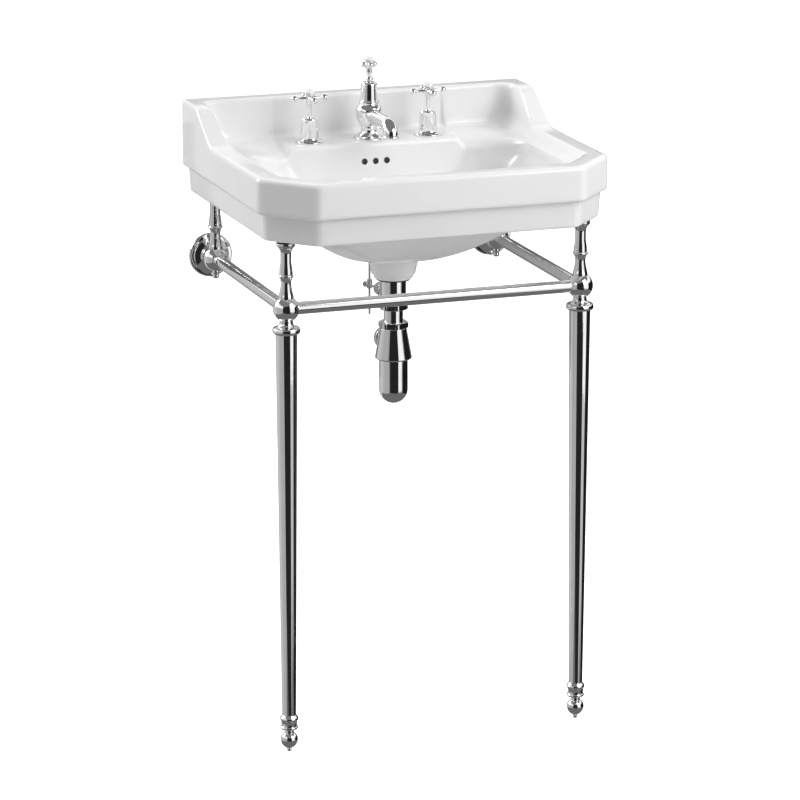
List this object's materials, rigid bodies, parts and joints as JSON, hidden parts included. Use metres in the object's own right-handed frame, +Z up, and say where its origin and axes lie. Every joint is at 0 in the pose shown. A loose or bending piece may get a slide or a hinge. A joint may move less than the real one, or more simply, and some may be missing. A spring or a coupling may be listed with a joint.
{
  "type": "basin with stand",
  "caption": "Wall-backed ceramic washbasin with upstand on a chromed two-leg stand with towel rails, cross-handle taps, spout, pop-up waste and bottle trap.",
  "frame": {"origin": "centre of the footprint on the floor", "axes": "+Z up, -Y to the front where the user stands, +Y to the wall, +X to the user's right"},
  "size_m": [0.56, 0.47, 1.015],
  "materials": {
    "glaze": "glossy",
    "chrome": "polished",
    "button": "glossy",
    "rubber": "matte",
    "brass": "satin",
    "steel": "satin",
    "grille": "matte"
  },
  "bodies": {
    "washstand": {"back_nuts": "brass", "basin": "glaze", "cold_shroud": "chrome", "cold_valve": "brass", "corner_ball_left": "chrome", "corner_ball_right": "chrome", "deck_washers": "rubber", "dip_tube": "chrome", "finial_left": "chrome", "finial_right": "chrome", "front_pillar_left": "chrome", "front_pillar_right": "chrome", "front_rail": "chrome", "hot_shroud": "chrome", "hot_valve": "brass", "leg_collar_left": "chrome", "leg_collar_right": "chrome", "leg_ferrule_left": "chrome", "leg_ferrule_right": "chrome", "leg_left": "chrome", "leg_right": "chrome", "lift_guide": "chrome", "outlet_nut": "chrome", "pivot_nut": "chrome", "rear_ball_left": "chrome", "rear_ball_right": "chrome", "rear_pillar_left": "chrome", "rear_pillar_right": "chrome", "side_rail_left": "chrome", "side_rail_right": "chrome", "spout": "chrome", "spout_bonnet": "chrome", "spout_outlet": "grille", "support_pads": "rubber", "trap_bottle": "chrome", "trap_cup": "chrome", "trap_nut": "chrome", "wall_flange_left": "chrome", "wall_flange_right": "chrome", "waste_body": "chrome", "waste_flange": "chrome", "waste_nut": "chrome", "waste_seal": "rubber"},
    "hot_handle": {"hot_spindle": "chrome", "hot_handle": "chrome", "hot_button": "button"},
    "cold_handle": {"cold_spindle": "chrome", "cold_handle": "chrome", "cold_button": "button"},
    "lift_knob": {"lift_knob": "chrome", "lift_button": "button", "lift_rod": "steel", "rod_joint": "steel"},
    "pivot_rod": {"pivot_rod": "steel"},
    "waste_plug": {"waste_plug": "chrome"},
    "foot_left": {"foot_left": "chrome"},
    "foot_right": {"foot_right": "chrome"}
  },
  "joints": [
    {"name": "hot_turn", "type": "hinge", "parent": "washstand", "child": "hot_handle", "pos_m": [-0.098, 0.147, 0.9], "axis": [0, 0, 1], "range_deg": [0, 90]},
    {"name": "cold_turn", "type": "hinge", "parent": "washstand", "child": "cold_handle", "pos_m": [0.098, 0.147, 0.9], "axis": [0, 0, 1], "range_deg": [-90, 0]},
    {"name": "knob_lift", "type": "slide", "parent": "washstand", "child": "lift_knob", "axis": [0, 0, 1], "range_m": [0, 0.012]},
    {"name": "rod_tilt", "type": "hinge", "parent": "washstand", "child": "pivot_rod", "pos_m": [-0.003, 0.08592, 0.6575], "axis": [0.9985, 0.0556, 0], "range_deg": [0, 11.2]},
    {"name": "plug_slide", "type": "slide", "parent": "washstand", "child": "waste_plug", "axis": [0, 0, 1], "range_m": [-0.01059, 0]},
    {"name": "foot_left_screw", "type": "slide", "parent": "washstand", "child": "foot_left", "axis": [0, 0, 1], "range_m": [-0.015, 0.004]},
    {"name": "foot_right_screw", "type": "slide", "parent": "washstand", "child": "foot_right", "axis": [0, 0, 1], "range_m": [-0.015, 0.004]}
  ],
  "couplings": [
    {"joint": "rod_tilt", "follows": "knob_lift", "rad_per_m": 16.294},
    {"joint": "plug_slide", "follows": "knob_lift", "ratio": -0.88267}
  ]
}
